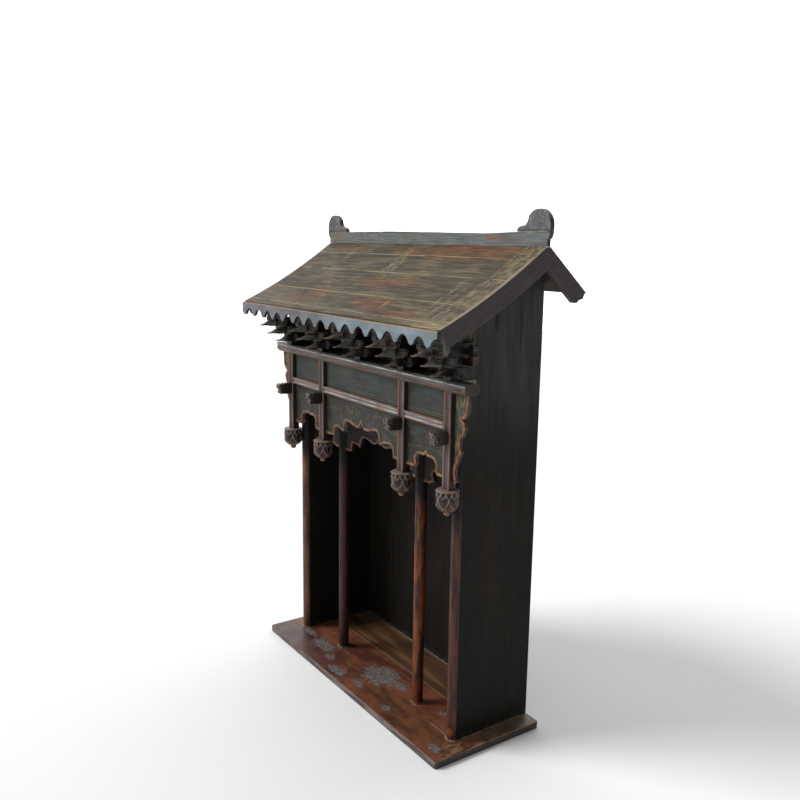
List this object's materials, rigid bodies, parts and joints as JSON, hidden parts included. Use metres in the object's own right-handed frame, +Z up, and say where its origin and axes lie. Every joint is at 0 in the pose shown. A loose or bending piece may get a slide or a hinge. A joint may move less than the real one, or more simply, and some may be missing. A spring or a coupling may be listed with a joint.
{
  "type": "altar shrine",
  "caption": "Tall shallow wooden shrine case on a base board, with a columned open front, a carved hanging hood, bracket sets and a curved gabled roof.",
  "frame": {"origin": "middle of the base's underside", "axes": "+Z up, +X to the right seen from the front, the open front faces -Y"},
  "size_m": [0.9012, 0.3915, 1.1896],
  "materials": {
    "red_lacquer": "worn reddish-brown lacquer on wood",
    "column_lacquer": "worn red-brown lacquer on turned wood",
    "dark_panel": "near-black stained boards",
    "worn_frame": "worn painted frame wood",
    "slate_paint": "slate green painted boards",
    "green_paint": "worn green painted boards",
    "carved_dark": "dark carved wood with rubbed edges",
    "weathered_roof": "weathered bare grey-brown boards",
    "dark_bargeboard": "dark brown painted boards",
    "blue_grey_paint": "worn blue-grey painted boards"
  },
  "bodies": {
    "root": {"apron_left": "slate_paint", "apron_middle": "slate_paint", "apron_right": "slate_paint", "back_board_1": "dark_panel", "back_board_2": "dark_panel", "back_board_3": "dark_panel", "base_front_board": "red_lacquer", "base_rear_board": "red_lacquer", "beam_head_1": "carved_dark", "beam_head_2": "carved_dark", "beam_head_3": "carved_dark", "beam_head_4": "carved_dark", "bracket_back_board": "blue_grey_paint", "bracket_set_1": "carved_dark", "bracket_set_2": "carved_dark", "bracket_set_3": "carved_dark", "bracket_set_4": "carved_dark", "bracket_set_5": "carved_dark", "eave_fascia": "blue_grey_paint", "frieze_panel_left": "slate_paint", "frieze_panel_middle": "slate_paint", "frieze_panel_right": "slate_paint", "hanging_post_1": "worn_frame", "hanging_post_2": "worn_frame", "hanging_post_3": "worn_frame", "hanging_post_4": "worn_frame", "hood_top_rail": "worn_frame", "inner_apron_left": "slate_paint", "inner_apron_middle": "slate_paint", "inner_apron_right": "slate_paint", "ledge_board": "worn_frame", "left_end_column": "column_lacquer", "left_finial": "blue_grey_paint", "left_front_bargeboard": "dark_bargeboard", "left_inner_column": "column_lacquer", "left_rear_bargeboard": "dark_bargeboard", "left_side_front_board": "dark_panel", "left_side_rear_board": "dark_panel", "left_wing": "green_paint", "lotus_pendant_1": "carved_dark", "lotus_pendant_2": "carved_dark", "lotus_pendant_3": "carved_dark", "lotus_pendant_4": "carved_dark", "lower_rail_left": "worn_frame", "lower_rail_middle": "worn_frame", "lower_rail_right": "worn_frame", "ridge_board": "blue_grey_paint", "right_end_column": "column_lacquer", "right_finial": "blue_grey_paint", "right_front_bargeboard": "dark_bargeboard", "right_inner_column": "column_lacquer", "right_rear_bargeboard": "dark_bargeboard", "right_side_front_board": "dark_panel", "right_side_rear_board": "dark_panel", "right_wing": "green_paint", "roof_board_1": "weathered_roof", "roof_board_2": "weathered_roof", "roof_board_3": "weathered_roof", "roof_board_4": "weathered_roof", "roof_rear_board": "weathered_roof"}
  },
  "joints": []
}
